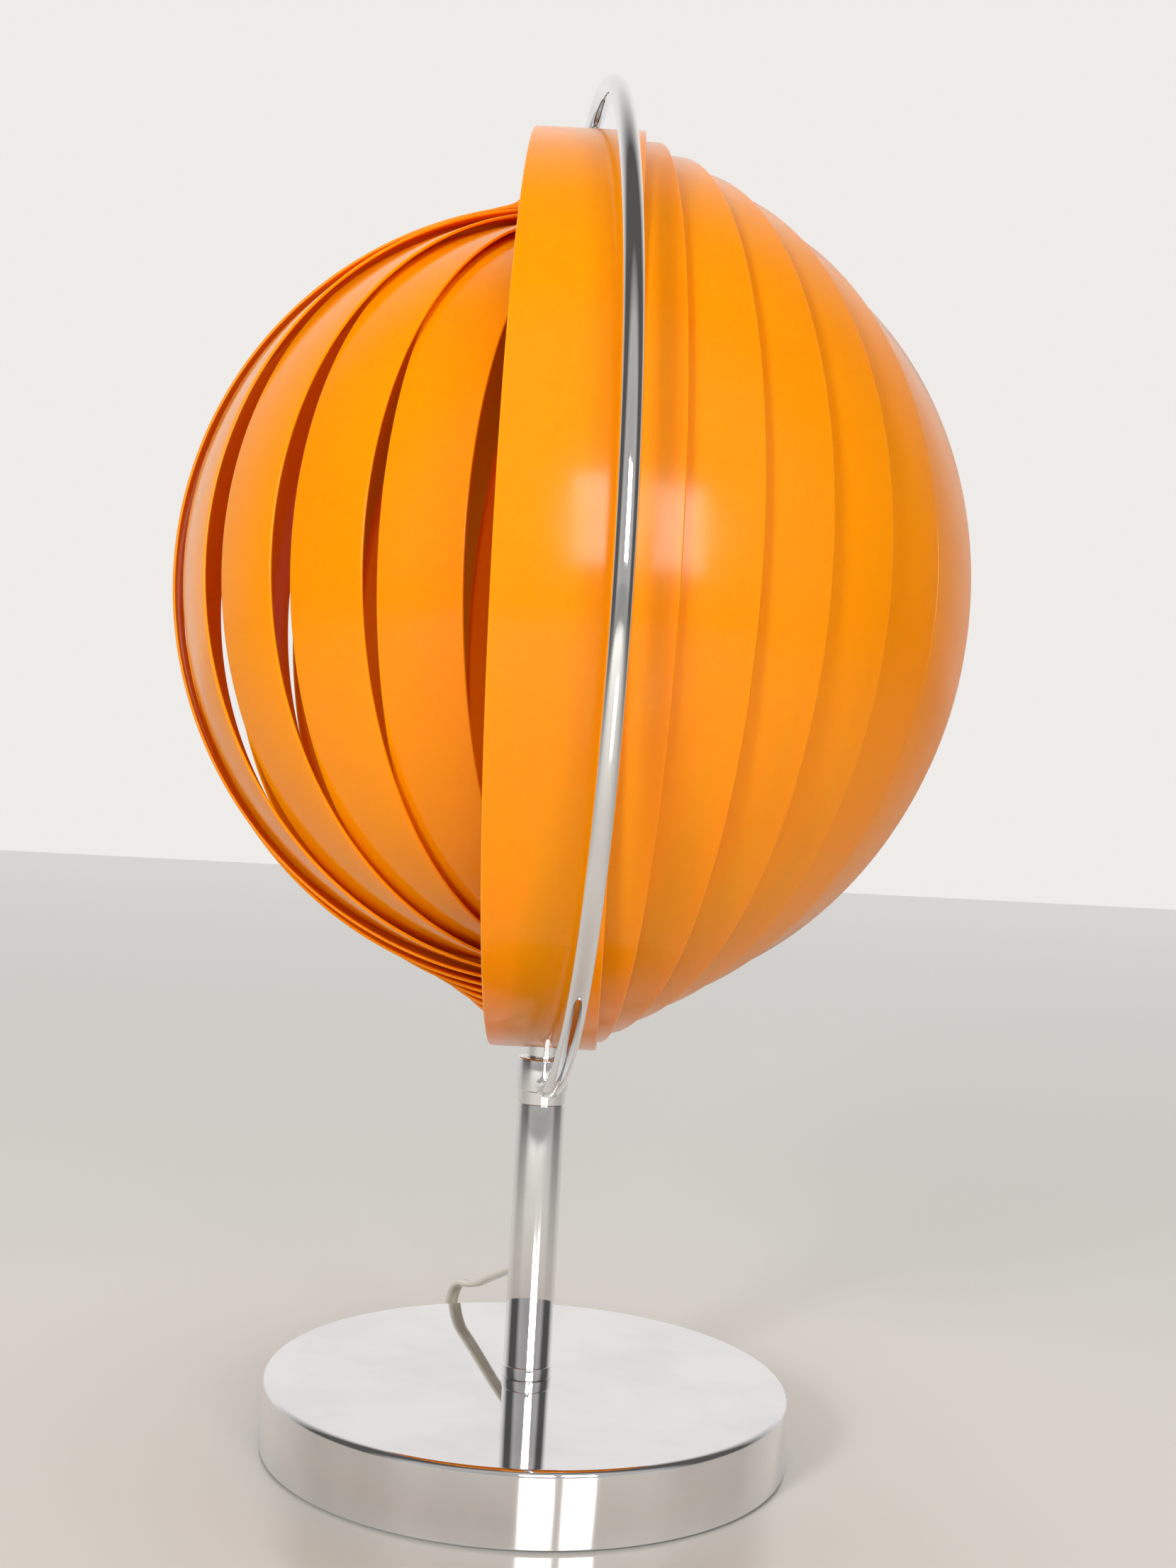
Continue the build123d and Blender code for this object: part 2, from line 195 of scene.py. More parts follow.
@dataclass(frozen=True)
class MetalFinish:
    """One metal surface: its colour, its polish and how rough its skin is."""

    name: str
    colour: tuple[float, float, float]
    smooth: float
    dull: float
    kind: Metal
    bump: float = 0.0

    def build(self) -> bpy.types.Material:
        """Make the material: haze and fingermarks on a mirror, a brushed or cast skin on the rest."""
        material, shader = new_material(self.name)
        links = material.node_tree.links
        haze = noise(material, 24.0, 6.0)
        shade = tuple(0.9 * c for c in self.colour)
        links.new(tint(material, haze, ((0.3, shade), (0.6, self.colour))), shader.inputs["Base Color"])
        links.new(spread(material, haze, self.smooth, self.dull), shader.inputs["Roughness"])
        shader.inputs["Metallic"].default_value = 1.0
        if self.kind is Metal.PLATED:
            relief(material, noise(material, 700.0, 2.0, (1.0, 1.0, 0.08)), self.bump, 0.0001)
        elif self.kind is Metal.CAST:
            relief(material, noise(material, 350.0, 5.0), self.bump, 0.0006)
        return material


@dataclass(frozen=True)
class MouldedPlastic:
    """Plain moulded plastic with a fine spark-eroded grain."""

    name: str
    colour: tuple[float, float, float]
    roughness: float

    def build(self) -> bpy.types.Material:
        """Make the material."""
        material, shader = new_material(self.name)
        links = material.node_tree.links
        cloud = noise(material, 40.0, 3.0)
        darker = tuple(0.92 * c for c in self.colour)
        links.new(tint(material, cloud, ((0.3, darker), (0.7, self.colour))), shader.inputs["Base Color"])
        links.new(spread(material, cloud, self.roughness, self.roughness + 0.1), shader.inputs["Roughness"])
        relief(material, noise(material, 1800.0, 2.0), 0.15, 0.0001)
        return material


@dataclass(frozen=True)
class ClearFlex:
    """Clear flat twin flex: two bundles of tinned strands seen through a clear soft sheath.

    The piece's UV map runs once round the section in U and in metres along the lead in V. The strands
    show along the two broad faces as twisted silver-gold lines, lighter where a glint is painted on
    them, with clear web and edges between.
    """

    sheath: tuple[float, float, float] = (0.86, 0.85, 0.74)
    strand: tuple[float, float, float] = (0.55, 0.52, 0.38)
    # gleam is a painted glint: the lighter colour of the twist lines stands for light catching the strands
    gleam: tuple[float, float, float] = (0.86, 0.84, 0.74)

    def build(self) -> bpy.types.Material:
        """Make the material."""
        material, shader = new_material("clear_flex")
        nodes, links = material.node_tree.nodes, material.node_tree.links
        layout = nodes.new("ShaderNodeUVMap")
        layout.uv_map = "Lead"
        split = nodes.new("ShaderNodeSeparateXYZ")
        links.new(layout.outputs["UV"], split.inputs["Vector"])
        twist = nodes.new("ShaderNodeTexWave")
        twist.inputs["Scale"].default_value = 60.0
        twist.inputs["Distortion"].default_value = 0.6
        skew = nodes.new("ShaderNodeMapping")
        skew.inputs["Scale"].default_value = (0.25, 1.0, 1.0)
        skew.inputs["Rotation"].default_value = (0.0, 0.0, radians(-35))
        links.new(layout.outputs["UV"], skew.inputs["Vector"])
        links.new(skew.outputs["Vector"], twist.inputs["Vector"])
        # the twist runs from the strands' own colour to the painted glint
        strands = tint(material, twist.outputs["Fac"], ((0.25, self.strand), (0.8, self.gleam)))
        lobe = nodes.new("ShaderNodeMath")
        lobe.operation = "COSINE"
        angle = nodes.new("ShaderNodeMath")
        angle.operation = "MULTIPLY"
        angle.inputs[1].default_value = 4 * pi
        links.new(split.outputs["X"], angle.inputs[0])
        links.new(angle.outputs["Value"], lobe.inputs[0])
        clear = spread(material, lobe.outputs["Value"], 0.15, 1.0, -0.7, 0.5)
        mix = nodes.new("ShaderNodeMix")
        mix.data_type = "RGBA"
        links.new(clear, mix.inputs["Factor"])
        links.new(strands, mix.inputs["A"])
        mix.inputs["B"].default_value = (*self.sheath, 1.0)
        links.new(mix.outputs["Result"], shader.inputs["Base Color"])
        shader.inputs["Transmission Weight"].default_value = 0.2
        shader.inputs["IOR"].default_value = 1.53
        shader.inputs["Roughness"].default_value = 0.14
        shader.inputs["Coat Weight"].default_value = 0.4
        shader.inputs["Coat Roughness"].default_value = 0.06
        relief(material, noise(material, 500.0, 2.0), 0.1, 0.0002)
        return material


@dataclass(frozen=True)
class BulbGlass:
    """Frosted lamp glass, white from inside."""

    colour: tuple[float, float, float] = (0.94, 0.93, 0.90)

    def build(self) -> bpy.types.Material:
        """Make the material."""
        material, shader = new_material("bulb_frost")
        links = material.node_tree.links
        links.new(tint(material, noise(material, 90.0), ((0.3, self.colour), (0.7, (0.98, 0.98, 0.96)))),
                  shader.inputs["Base Color"])
        links.new(spread(material, noise(material, 300.0), 0.3, 0.4), shader.inputs["Roughness"])
        shader.inputs["Transmission Weight"].default_value = 0.55
        shader.inputs["IOR"].default_value = 1.5
        return material


@dataclass(frozen=True)
class Felt:
    """Short black felt: a matted fibre pattern with a soft nap."""

    colour: tuple[float, float, float] = (0.018, 0.018, 0.02)

    def build(self) -> bpy.types.Material:
        """Make the material."""
        material, shader = new_material("base_felt")
        links = material.node_tree.links
        fibre = noise(material, 900.0, 6.0)
        lighter = tuple(3.0 * c for c in self.colour)
        links.new(tint(material, fibre, ((0.35, self.colour), (0.7, lighter))), shader.inputs["Base Color"])
        shader.inputs["Roughness"].default_value = 0.95
        shader.inputs["Sheen Weight"].default_value = 0.4
        relief(material, fibre, 0.6, 0.0006)
        return material


def round_profile(corners: Sequence[tuple[float, float, float]], steps: int = 6) -> np.ndarray:
    """Round the corners of a closed outline.

    Each corner is cut where a circle of its radius touches both sides, and the cut is filled with
    points of that circle, found by turning from one touching point to the other.

    Args:
        corners: x, y and corner radius of each corner, in order.
        steps: points on each rounded corner.

    Returns:
        The outline's points, one row each.
    """
    rows = []
    count = len(corners)
    for i, (x, y, radius) in enumerate(corners):
        here = np.array((x, y))
        if radius <= 0:
            rows.append(here[None, :])
            continue
        back = np.array(corners[i - 1][:2]) - here
        ahead = np.array(corners[(i + 1) % count][:2]) - here
        back = back / np.linalg.norm(back)
        ahead = ahead / np.linalg.norm(ahead)
        half = np.arccos(np.clip(back @ ahead, -1, 1)) / 2
        reach = radius / np.tan(half)
        centre = here + (back + ahead) / np.linalg.norm(back + ahead) * radius / np.sin(half)
        first = here + back * reach - centre
        last = here + ahead * reach - centre
        share = np.linspace(0, 1, steps)[:, None]
        sweep = pi - 2 * half
        between = np.sin((1 - share) * sweep) * first + np.sin(share * sweep) * last
        rows.append(centre + between / np.sin(sweep))
    return np.vstack(rows)


def grid_faces(rows: int, columns: int, wrap_rows: bool, wrap_columns: bool) -> np.ndarray:
    """Corner numbers of the quads of a grid of points.

    Args:
        rows: points along the first parameter.
        columns: points along the second parameter.
        wrap_rows: whether the last row joins the first.
        wrap_columns: whether the last column joins the first.

    Returns:
        One row of four point numbers for each quad.
    """
    i = np.arange(rows if wrap_rows else rows - 1)[:, None]
    j = np.arange(columns if wrap_columns else columns - 1)[None, :]
    i_next = (i + 1) % rows
    j_next = (j + 1) % columns
    quads = np.stack(np.broadcast_arrays(i * columns + j, i_next * columns + j,
                                         i_next * columns + j_next, i * columns + j_next), axis=-1)
    return quads.reshape(-1, 4)


def make_piece(name: str, points: np.ndarray, faces: np.ndarray, material: bpy.types.Material,
               sharp: float = 40.0) -> bpy.types.Object:
    """Put arrays of points and quads into a smooth mesh object at the origin.

    Args:
        name: the object's name.
        points: places in metres, one row each.
        faces: quads as point numbers.
        material: the finish.
        sharp: edges that turn more than this many degrees stay sharp.

    Returns:
        The object, its doubled points merged and its faces turned outwards.
    """
    mesh = bpy.data.meshes.new(name)
    mesh.from_pydata(points.tolist(), [], faces.tolist())
    work = bmesh.new()
    work.from_mesh(mesh)
    bmesh.ops.remove_doubles(work, verts=work.verts, dist=2e-6)
    bmesh.ops.dissolve_degenerate(work, edges=work.edges, dist=1e-7)
    bmesh.ops.recalc_face_normals(work, faces=work.faces)
    work.to_mesh(mesh)
    work.free()
    return finish_mesh(name, mesh, material, sharp)


def finish_mesh(name: str, mesh: bpy.types.Mesh, material: bpy.types.Material,
                sharp: float) -> bpy.types.Object:
    """Shade a mesh smooth between sharp edges and make it an object.

    Args:
        name: the object's name.
        mesh: its mesh.
        material: the finish.
        sharp: edges that turn more than this many degrees stay sharp.

    Returns:
        The object.
    """
    mesh.materials.clear()
    mesh.materials.append(material)
    mesh.shade_smooth()
    mesh.set_sharp_from_angle(angle=radians(sharp))
    piece = bpy.data.objects.new(name, mesh)
    bpy.context.scene.collection.objects.link(piece)
    return piece


def spun(name: str, profile: np.ndarray, material: bpy.types.Material, segments: int = 192,
         closed: bool = True, turn: Optional[Matrix] = None, sharp: float = 40.0) -> bpy.types.Object:
    """Spin a profile about Z: a point is (r cos a, r sin a, z) for each profile point and angle a.

    Args:
        name: the object's name.
        profile: radius and height of each point, in metres.
        material: the finish.
        segments: steps round the circle.
        closed: whether the profile joins its own start, as round a bore.
        turn: placement of the spun shape, if it doesn't stand on the origin.
        sharp: edges that turn more than this many degrees stay sharp.

    Returns:
        The object.
    """
    angle = np.linspace(0, 2 * pi, segments, endpoint=False)[None, :]
    radius, height = profile[:, :1], profile[:, 1:]
    points = np.stack((radius * np.cos(angle), radius * np.sin(angle), height + 0 * angle), axis=-1)
    points = points.reshape(-1, 3)
    if turn is not None:
        matrix = np.array(turn)
        points = points @ matrix[:3, :3].T + matrix[:3, 3]
    faces = grid_faces(len(profile), segments, closed, True)
    return make_piece(name, points, faces, material, sharp)


def ring_profile(inner: float, outer: float, low: float, high: float, edge: float) -> np.ndarray:
    """Rounded rectangle between two radii and two heights, all in metres."""
    return round_profile(((inner, low, edge), (outer, low, edge), (outer, high, edge), (inner, high, edge)))


def settle(piece: bpy.types.Object, body: str, *nodes: str) -> bpy.types.Object:
    """Ride a new piece on its body, let it stand for CAD nodes and report it."""
    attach(piece, body)
    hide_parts(*nodes)
    LOG.info("%s: %d faces", piece.name, len(piece.data.polygons))
    return piece


def dress(material: bpy.types.Material, *nodes: str) -> None:
    """Give CAD nodes a finish."""
    for node in nodes:
        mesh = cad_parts[node].data
        mesh.materials.clear()
        mesh.materials.append(material)
        LOG.info("%s dressed in %s", node, material.name)


@dataclass
class Base:
    """The disc base, its collar and the stem above it."""

    chrome: bpy.types.Material
    radius: float = 108.5 * MM
    wall: float = 1.2 * MM
    edge: float = 2.5 * MM
    hem: float = 0.4 * MM
    stem_bore: float = 9.0 * MM

    def shell(self) -> bpy.types.Object:
        """Spin the cover: flat top, small rounded edge and a plain side with a rolled hem."""
        low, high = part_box("base_shell")[0][2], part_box("base_shell")[1][2]
        bore = STUD_BORE
        inside = self.radius - self.wall
        profile = round_profile((
            (bore, high, 0), (self.radius, high, self.edge), (self.radius, low, self.hem),
            (inside, low, self.hem), (inside, high - self.wall, self.edge - self.wall),
            (bore, high - self.wall, 0),
        ), 10)
        return settle(spun("base_cover", profile, self.chrome, 360), "lamp", "base_shell")

    def stem(self) -> None:
        """Spin the foot collar and the stem tube with its hair-line chamfers."""
        for name, inner, edge in (("foot_collar", STUD_BORE, 0.5), ("stem_tube", self.stem_bore, 0.3)):
            low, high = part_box(name)
            profile = ring_profile(inner, high[0], low[2], high[2], edge * MM)
            settle(spun(f"{name}_polished", profile, self.chrome, 128), "lamp", name)


@dataclass
class Hub:
    """The stepped hub, the neck above it and the ball, washer and rod at the top."""

    chrome: bpy.types.Material
    stem: float = 10.0 * MM
    step: float = 147.5 * MM

    def hub(self) -> None:
        """Spin the hub: a lower drum the stem's size and a slightly larger one above it."""
        low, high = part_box("hub")
        bore = STUD_BORE
        wide = high[0]
        edge = 0.45 * MM
        profile = round_profile((
            (bore, low[2], 0), (self.stem, low[2], edge), (self.stem, self.step, edge * 0.6),
            (wide, self.step, 0.3 * MM),
            (wide, high[2], 0.7 * MM), (bore, high[2], 0),
        ))
        settle(spun("hub_polished", profile, self.chrome, 128), "lamp", "hub")

    def neck(self) -> None:
        """Spin the neck sleeve and the washer on top of the rings."""
        for name, inner, edge in (("neck_sleeve", STUD_BORE, 0.3), ("top_washer", PIVOT_BORE, 0.35)):
            low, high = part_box(name)
            profile = ring_profile(inner, high[0], low[2], high[2], edge * MM)
            settle(spun(f"{name}_polished", profile, self.chrome, 96), "lamp", name)

    def ball(self) -> None:
        """Spin the ball: r = R cos u, z = centre + R sin u, cut flat below."""
        low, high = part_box("ball_finial")
        radius = high[0]
        centre = high[2] - radius
        start = np.arcsin((low[2] - centre) / radius)
        u = np.linspace(start, pi / 2, 40)
        arc = np.stack((radius * np.cos(u), centre + radius * np.sin(u)), axis=1)
        arc[-1, 0] = 0.0
        profile = np.vstack(((0.0, low[2]), arc))
        settle(spun("ball_polished", profile, self.chrome, 96, closed=False), "lamp", "ball_finial")


@dataclass
class Hoop:
    """The round rod that rises from the hub, round the globe and over the ball."""

    chrome: bpy.types.Material
    radius: float = 205.0 * MM
    rod: float = 3.75 * MM
    centre: float = 355.0 * MM
    end: float = 6.7 * MM

    def build(self) -> None:
        """Sweep the rod: a circle of radius rod carried round an arc in the YZ plane, its ends closed."""
        gap = np.arcsin(self.end / self.radius)
        along = np.linspace(gap, 2 * pi - gap, 420)
        around = np.linspace(0, 2 * pi, 40, endpoint=False)
        shrink = np.ones(len(along))
        along = np.concatenate(([along[0]], along, [along[-1]]))
        shrink = np.concatenate(([0.0], shrink, [0.0])) * self.rod
        reach = self.radius + shrink[:, None] * np.cos(around)[None, :]
        side = shrink[:, None] * np.sin(around)[None, :]
        points = np.stack((side, reach * np.sin(along)[:, None],
                           self.centre - reach * np.cos(along)[:, None]), axis=-1).reshape(-1, 3)
        faces = grid_faces(len(along), len(around), False, True)
        settle(make_piece("hoop_polished", points, faces, self.chrome), "lamp", "hoop")


@dataclass
class Globe:
    """Fourteen rings, one inside the next, each on its own body."""

    plastic: bpy.types.Material
    azimuths: tuple[float, ...] = (
        -5.8, 0.0, 9.1, 18.4, 28.4, 39.2, 54.3, 73.0, 92.0, 109.5, 125.7, 141.0, 155.1, 171.5)
    outer: float = 188.5 * MM
    pitch: float = 3.2 * MM
    thickness: float = 1.2 * MM
    width: float = 43.0 * MM
    narrowing: float = 0.85 * MM
    edge: float = 0.5 * MM
    centre: float = 355.0 * MM
    lower_hole: float = 7.2 * MM
    upper_hole: float = 3.1 * MM

    def cutter(self, outer: float) -> bpy.types.Object:
        """Make the two pivot holes' shape: a spun spindle, wide below the centre and narrow above.

        Args:
            outer: the ring's outer radius.

        Returns:
            A closed mesh object, removed after the cut.
        """
        reach = outer * 1.1
        profile = np.array(((0, -reach), (self.lower_hole, -reach), (self.lower_hole, -outer / 2),
                            (self.upper_hole, outer / 2), (self.upper_hole, reach), (0, reach)))
        shift = Matrix.Translation((0, 0, self.centre))
        return spun("pivot_holes", profile, self.plastic, 64, closed=False, turn=shift)

    def ring(self, index: int) -> None:
        """Make one ring: a rounded strip's section carried round a level axis, then turned about Z.

        Args:
            index: the ring's number from the outermost, starting at 0.
        """
        outer = self.outer - self.pitch * index
        half = (self.width - self.narrowing * index) / 2
        inner = outer - self.thickness
        section = round_profile(((inner, -half, self.edge), (outer, -half, self.edge),
                                 (outer, half, self.edge), (inner, half, self.edge)), 5)
        heading = radians(self.azimuths[index])
        turn = (Matrix.Translation((0, 0, self.centre)) @ Matrix.Rotation(heading, 4, "Z")
                @ Matrix.Rotation(pi / 2, 4, "Y"))
        name = f"band_{index + 1:02d}"
        piece = spun(f"{name}_gloss", section, self.plastic, 288, turn=turn)
        tool = self.cutter(outer)
        cut = piece.modifiers.new("pivots", "BOOLEAN")
        cut.operation = "DIFFERENCE"
        cut.object = tool
        graph = bpy.context.evaluated_depsgraph_get()
        drilled = bpy.data.meshes.new_from_object(piece.evaluated_get(graph))
        piece.modifiers.clear()
        piece.data = drilled
        drilled.shade_smooth()
        drilled.set_sharp_from_angle(angle=radians(40))
        bpy.data.objects.remove(tool)
        settle(piece, f"ring_{index + 1:02d}", name)

    def build(self) -> None:
        """Make every ring."""
        for index in range(len(self.azimuths)):
            self.ring(index)


@dataclass
class BulbUnit:
    """The bulb and its holder on the nipple inside the globe."""

    glass: bpy.types.Material
    steel: bpy.types.Material
    white: bpy.types.Material
    radius: float = 30.0 * MM
    neck: float = 12.8 * MM
    wall: float = 0.8 * MM
    shoulder: float = 35.0

    def envelope(self, inset: float) -> np.ndarray:
        """Trace the glass from its crown to its foot: an arc, a straight flank and the neck.

        Args:
            inset: how far inside the outer skin the line lies.

        Returns:
            Radius and height of each point.
        """
        low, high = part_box("bulb_glass")
        radius, neck = self.radius - inset, self.neck - inset
        centre = high[2] - self.radius
        angle = radians(self.shoulder)
        u = np.linspace(pi / 2, -angle, 48)
        arc = np.stack((radius * np.cos(u), centre + radius * np.sin(u)), axis=1)
        arc[0, 0] = 0.0
        flank = arc[-1, 1] - (arc[-1, 0] - neck) / np.tan(angle)
        return np.vstack((arc, ((neck, flank), (neck, low[2]))))

    def build(self) -> None:
        """Spin the glass and the screw cap with its thread."""
        profile = np.vstack((self.envelope(0.0), self.envelope(self.wall)[::-1]))
        settle(spun("bulb_frosted", profile, self.glass, 96, closed=False), "lamp", "bulb_glass")
        low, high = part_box("bulb_cap")
        turns = 5
        height = np.linspace(low[2] + 2 * MM, high[2] - 3 * MM, 72)
        wave = 12.6 * MM + 0.5 * MM * np.cos(2 * pi * turns * (height - height[0]) / (height[-1] - height[0]))
        thread = np.stack((wave, height), axis=1)
        cap = np.vstack(((0, low[2]), (6 * MM, low[2]), (11.5 * MM, low[2] + 1.5 * MM), thread,
                         (12.8 * MM, high[2]), (0, high[2])))
        settle(spun("bulb_screw_cap", cap, self.steel, 72, closed=False), "lamp", "bulb_cap")
        dress(self.white, "lampholder_cap", "lampholder_body")


@dataclass
class Lead:
    """The clear twin flex from the stem, over the base's back rim, to its coil and plug."""

    flex: bpy.types.Material
    white: bpy.types.Material
    brass: bpy.types.Material
    width: float = 6.0 * MM
    thick: float = 3.1 * MM
    floor: float = 1.7
    exit_route: tuple[tuple[float, float, float], ...] = (
        (0, 32, 62), (-3, 48, 61), (-11, 67, 52), (-20, 88, 41.5), (-26, 109, 38), (-28.5, 125, 26),
        (-28.5, 134, 11), (-26, 144, 2.6))
    tail_route: tuple[tuple[float, float, float], ...] = (
        (37, 190.5, 2.6), (55, 183, 1.9), (66, 169, 2.4), (70.5, 156, 4.2), (70, 144, 6.2))
    coil_centre: tuple[float, float] = (16.0, 151.2)
    coil_outer: float = 39.0
    coil_inner: float = 21.0
    layer_rise: float = 3.1
    spiral_turns: float = 3.0
    stack_turns: float = 1.25

    def coil_points(self) -> np.ndarray:
        """Wind the coil: in along the floor, up one layer at the middle, and out again on top.

        The radius falls evenly over the first spiral, stays while the lead climbs and goes once round,
        and grows evenly over the second; the angle runs clockwise.

        Returns:
            The turns' points in millimetres.
        """
        turns = 2 * self.spiral_turns + self.stack_turns
        t = np.linspace(0.02, turns - 0.02, int(turns * 16))
        radius = np.interp(t, (0, self.spiral_turns, self.spiral_turns + self.stack_turns, turns),
                           (self.coil_outer, self.coil_inner, self.coil_inner, self.coil_outer))
        climb = (self.spiral_turns - 0.1, self.spiral_turns + 0.25)
        height = self.floor + np.interp(t, climb, (0.0, self.layer_rise))
        angle = pi - 2 * pi * t
        return np.stack((self.coil_centre[0] + radius * np.cos(angle),
                         self.coil_centre[1] + radius * np.sin(angle), height), axis=1)

    def centreline(self) -> np.ndarray:
        """Read the smooth line of the whole lead from a NURBS spline through its control points.

        Returns:
            Points along the line, in metres.
        """
        control = np.vstack((self.exit_route, self.coil_points(), self.tail_route)) * MM
        curve = bpy.data.curves.new("lead_line", "CURVE")
        curve.dimensions = "3D"
        spline = curve.splines.new("NURBS")
        spline.points.add(len(control) - 1)
        spline.points.foreach_set("co", np.hstack((control, np.ones((len(control), 1)))).ravel())
        spline.order_u = 3
        spline.use_endpoint_u = True
        spline.resolution_u = 6
        holder = bpy.data.objects.new("lead_line", curve)
        bpy.context.scene.collection.objects.link(holder)
        graph = bpy.context.evaluated_depsgraph_get()
        line = bpy.data.meshes.new_from_object(holder.evaluated_get(graph))
        points = np.empty(3 * len(line.vertices))
        line.vertices.foreach_get("co", points)
        bpy.data.objects.remove(holder)
        points = points.reshape(-1, 3)
        keep = np.concatenate(([True], np.linalg.norm(np.diff(points, axis=0), axis=1) > 1e-6))
        return points[keep]

    def section(self, count: int = 28) -> np.ndarray:
        """Outline of the flat twin flex: two round lobes with a shallow waist between them.

        The half thickness at angle a follows |sin a| to the power 0.8, pinched at the middle.

        Args:
            count: points round the outline.

        Returns:
            Offset across and offset up, for each point, in metres.
        """
        a = np.linspace(0, 2 * pi, count, endpoint=False)
        across = np.sign(np.cos(a)) * np.abs(np.cos(a)) ** 0.85
        waist = 1.0 - 0.22 * np.exp(-(across / 0.22) ** 2)
        up = np.sign(np.sin(a)) * np.abs(np.sin(a)) ** 0.8 * waist
        return np.stack((across * self.width / 2, up * self.thick / 2), axis=1)

    def build_flex(self) -> tuple[bpy.types.Object, np.ndarray]:
        """Carry the section along the line, its broad side level, and close both ends.

        A point is the line's point plus its offset along the level side direction plus its offset
        along the direction square to both that and the line.

        Returns:
            The flex and the line that it follows.
        """
        line = self.centreline()
        outline = self.section()
        ahead = np.gradient(line, axis=0)
        ahead /= np.linalg.norm(ahead, axis=1, keepdims=True)
        side = np.cross(ahead, (0.0, 0.0, 1.0))
        side /= np.linalg.norm(side, axis=1, keepdims=True)
        above = np.cross(side, ahead)
        shell = (line[:, None, :] + outline[None, :, :1] * side[:, None, :]
                 + outline[None, :, 1:] * above[:, None, :])
        rows, columns = len(line), len(outline)
        points = np.vstack((shell.reshape(-1, 3), line[:1], line[-1:]))
        faces = grid_faces(rows, columns, False, True).tolist()
        start, end = rows * columns, rows * columns + 1
        step = np.arange(columns)
        after = (step + 1) % columns
        last = (rows - 1) * columns
        faces += np.stack((after, step, np.full(columns, start)), axis=1).tolist()
        faces += np.stack((last + step, last + after, np.full(columns, end)), axis=1).tolist()
        mesh = bpy.data.meshes.new("lead_flex")
        mesh.from_pydata(points.tolist(), [], faces)
        travel = np.concatenate(([0.0], np.cumsum(np.linalg.norm(np.diff(line, axis=0), axis=1))))
        self.lay_uv(mesh, travel, columns)
        work = bmesh.new()
        work.from_mesh(mesh)
        bmesh.ops.recalc_face_normals(work, faces=work.faces)
        work.to_mesh(mesh)
        work.free()
        return finish_mesh("lead_flex", mesh, self.flex, 60.0), line

    def lay_uv(self, mesh: bpy.types.Mesh, travel: np.ndarray, columns: int) -> None:
        """Give the flex a UV map: once round the section in U, metres along the lead in V.

        Args:
            mesh: the flex's mesh.
            travel: metres along the line at each row.
            columns: points round the section.
        """
        corner = np.empty(len(mesh.loops), dtype=np.int64)
        mesh.loops.foreach_get("vertex_index", corner)
        row = np.minimum(corner // columns, len(travel) - 1)
        u = (corner % columns) / columns
        starts = np.empty(len(mesh.polygons), dtype=np.int64)
        mesh.polygons.foreach_get("loop_start", starts)
        totals = np.empty(len(mesh.polygons), dtype=np.int64)
        mesh.polygons.foreach_get("loop_total", totals)
        owner = np.repeat(np.arange(len(starts)), totals)
        widest = np.maximum.reduceat(u, starts)
        narrowest = np.minimum.reduceat(u, starts)
        seam = (widest - narrowest)[owner] > 0.5
        u = np.where(seam & (u < 0.5), u + 1.0, u)
        layer = mesh.uv_layers.new(name="Lead")
        layer.data.foreach_set("uv", np.stack((u, travel[row]), axis=1).ravel())

    def strain_relief(self) -> bpy.types.Object:
        """Spin the moulded bend guard along +Y: a flange, then a ribbed taper down to the lead."""
        start, end = 9.6 * MM, 32.0 * MM
        along = np.linspace(13.0 * MM, end, 90)
        share = (along - along[0]) / (end - along[0])
        ribs = 0.28 * MM * np.clip(np.sin(share * 2 * pi * 6), -0.4, 0.4) / 0.4
        taper = (4.9 - 1.4 * share) * MM + ribs * (share < 0.93)
        outline = np.vstack(((0, start), (5.2 * MM, start), (5.6 * MM, start + 0.5 * MM),
                             (5.6 * MM, 12.3 * MM), (5.2 * MM, 12.8 * MM),
                             np.stack((taper, along), axis=1), (0, end)))
        turn = Matrix.Translation((0, 0, 62 * MM)) @ Matrix.Rotation(-pi / 2, 4, "X")
        guard = spun("bend_guard", outline, self.white, 64, closed=False, turn=turn)
        return settle(guard, "lamp", "strain_relief")

    def plug(self) -> bpy.types.Object:
        """Shape the plug: rounded-box sections carried along Y, narrowing into a ribbed lead guard.

        At each place along Y the section is a superellipse, |x/a|^n + |z/b|^n = 1, whose half widths a
        and b and power n follow the plug from its face to the lead.

        Returns:
            The plug body.
        """
        middle = (70.0, 6.2)
        place = np.array((108.0, 108.0, 108.6, 110.5, 118.0, 127.0, 132.0, 134.5, 135.2, 139.0, 144.0, 144.0))
        half_x = np.array((0.0, 10.6, 11.6, 12.0, 12.0, 11.6, 9.8, 7.0, 5.0, 4.4, 3.7, 0.0))
        half_z = np.array((0.0, 4.8, 5.7, 6.0, 6.0, 5.9, 5.6, 5.0, 4.6, 4.1, 3.5, 0.0))
        power = np.array((4.0, 4.0, 4.0, 4.0, 4.0, 3.6, 3.0, 2.4, 2.0, 2.0, 2.0, 2.0))
        a = np.linspace(0, 2 * pi, 64, endpoint=False)[None, :]
        bend = 2.0 / power[:, None]
        x = middle[0] + half_x[:, None] * np.sign(np.cos(a)) * np.abs(np.cos(a)) ** bend
        z = middle[1] + half_z[:, None] * np.sign(np.sin(a)) * np.abs(np.sin(a)) ** bend
        y = place[:, None] + 0 * a
        points = np.stack((x, y, z), axis=-1).reshape(-1, 3) * MM
        piece = make_piece("plug_moulding", points, grid_faces(len(place), 64, False, True), self.white, 50)
        return settle(piece, "lamp", "plug_body")

    def build(self) -> None:
        guard = self.strain_relief()
        plug = self.plug()
        flex, line = self.build_flex()
        settle(flex, "lamp", "cord_run", "cord_coil", "cord_tail")
        dress(self.brass, "plug_blades")
        dress(self.flex, "inner_lead")


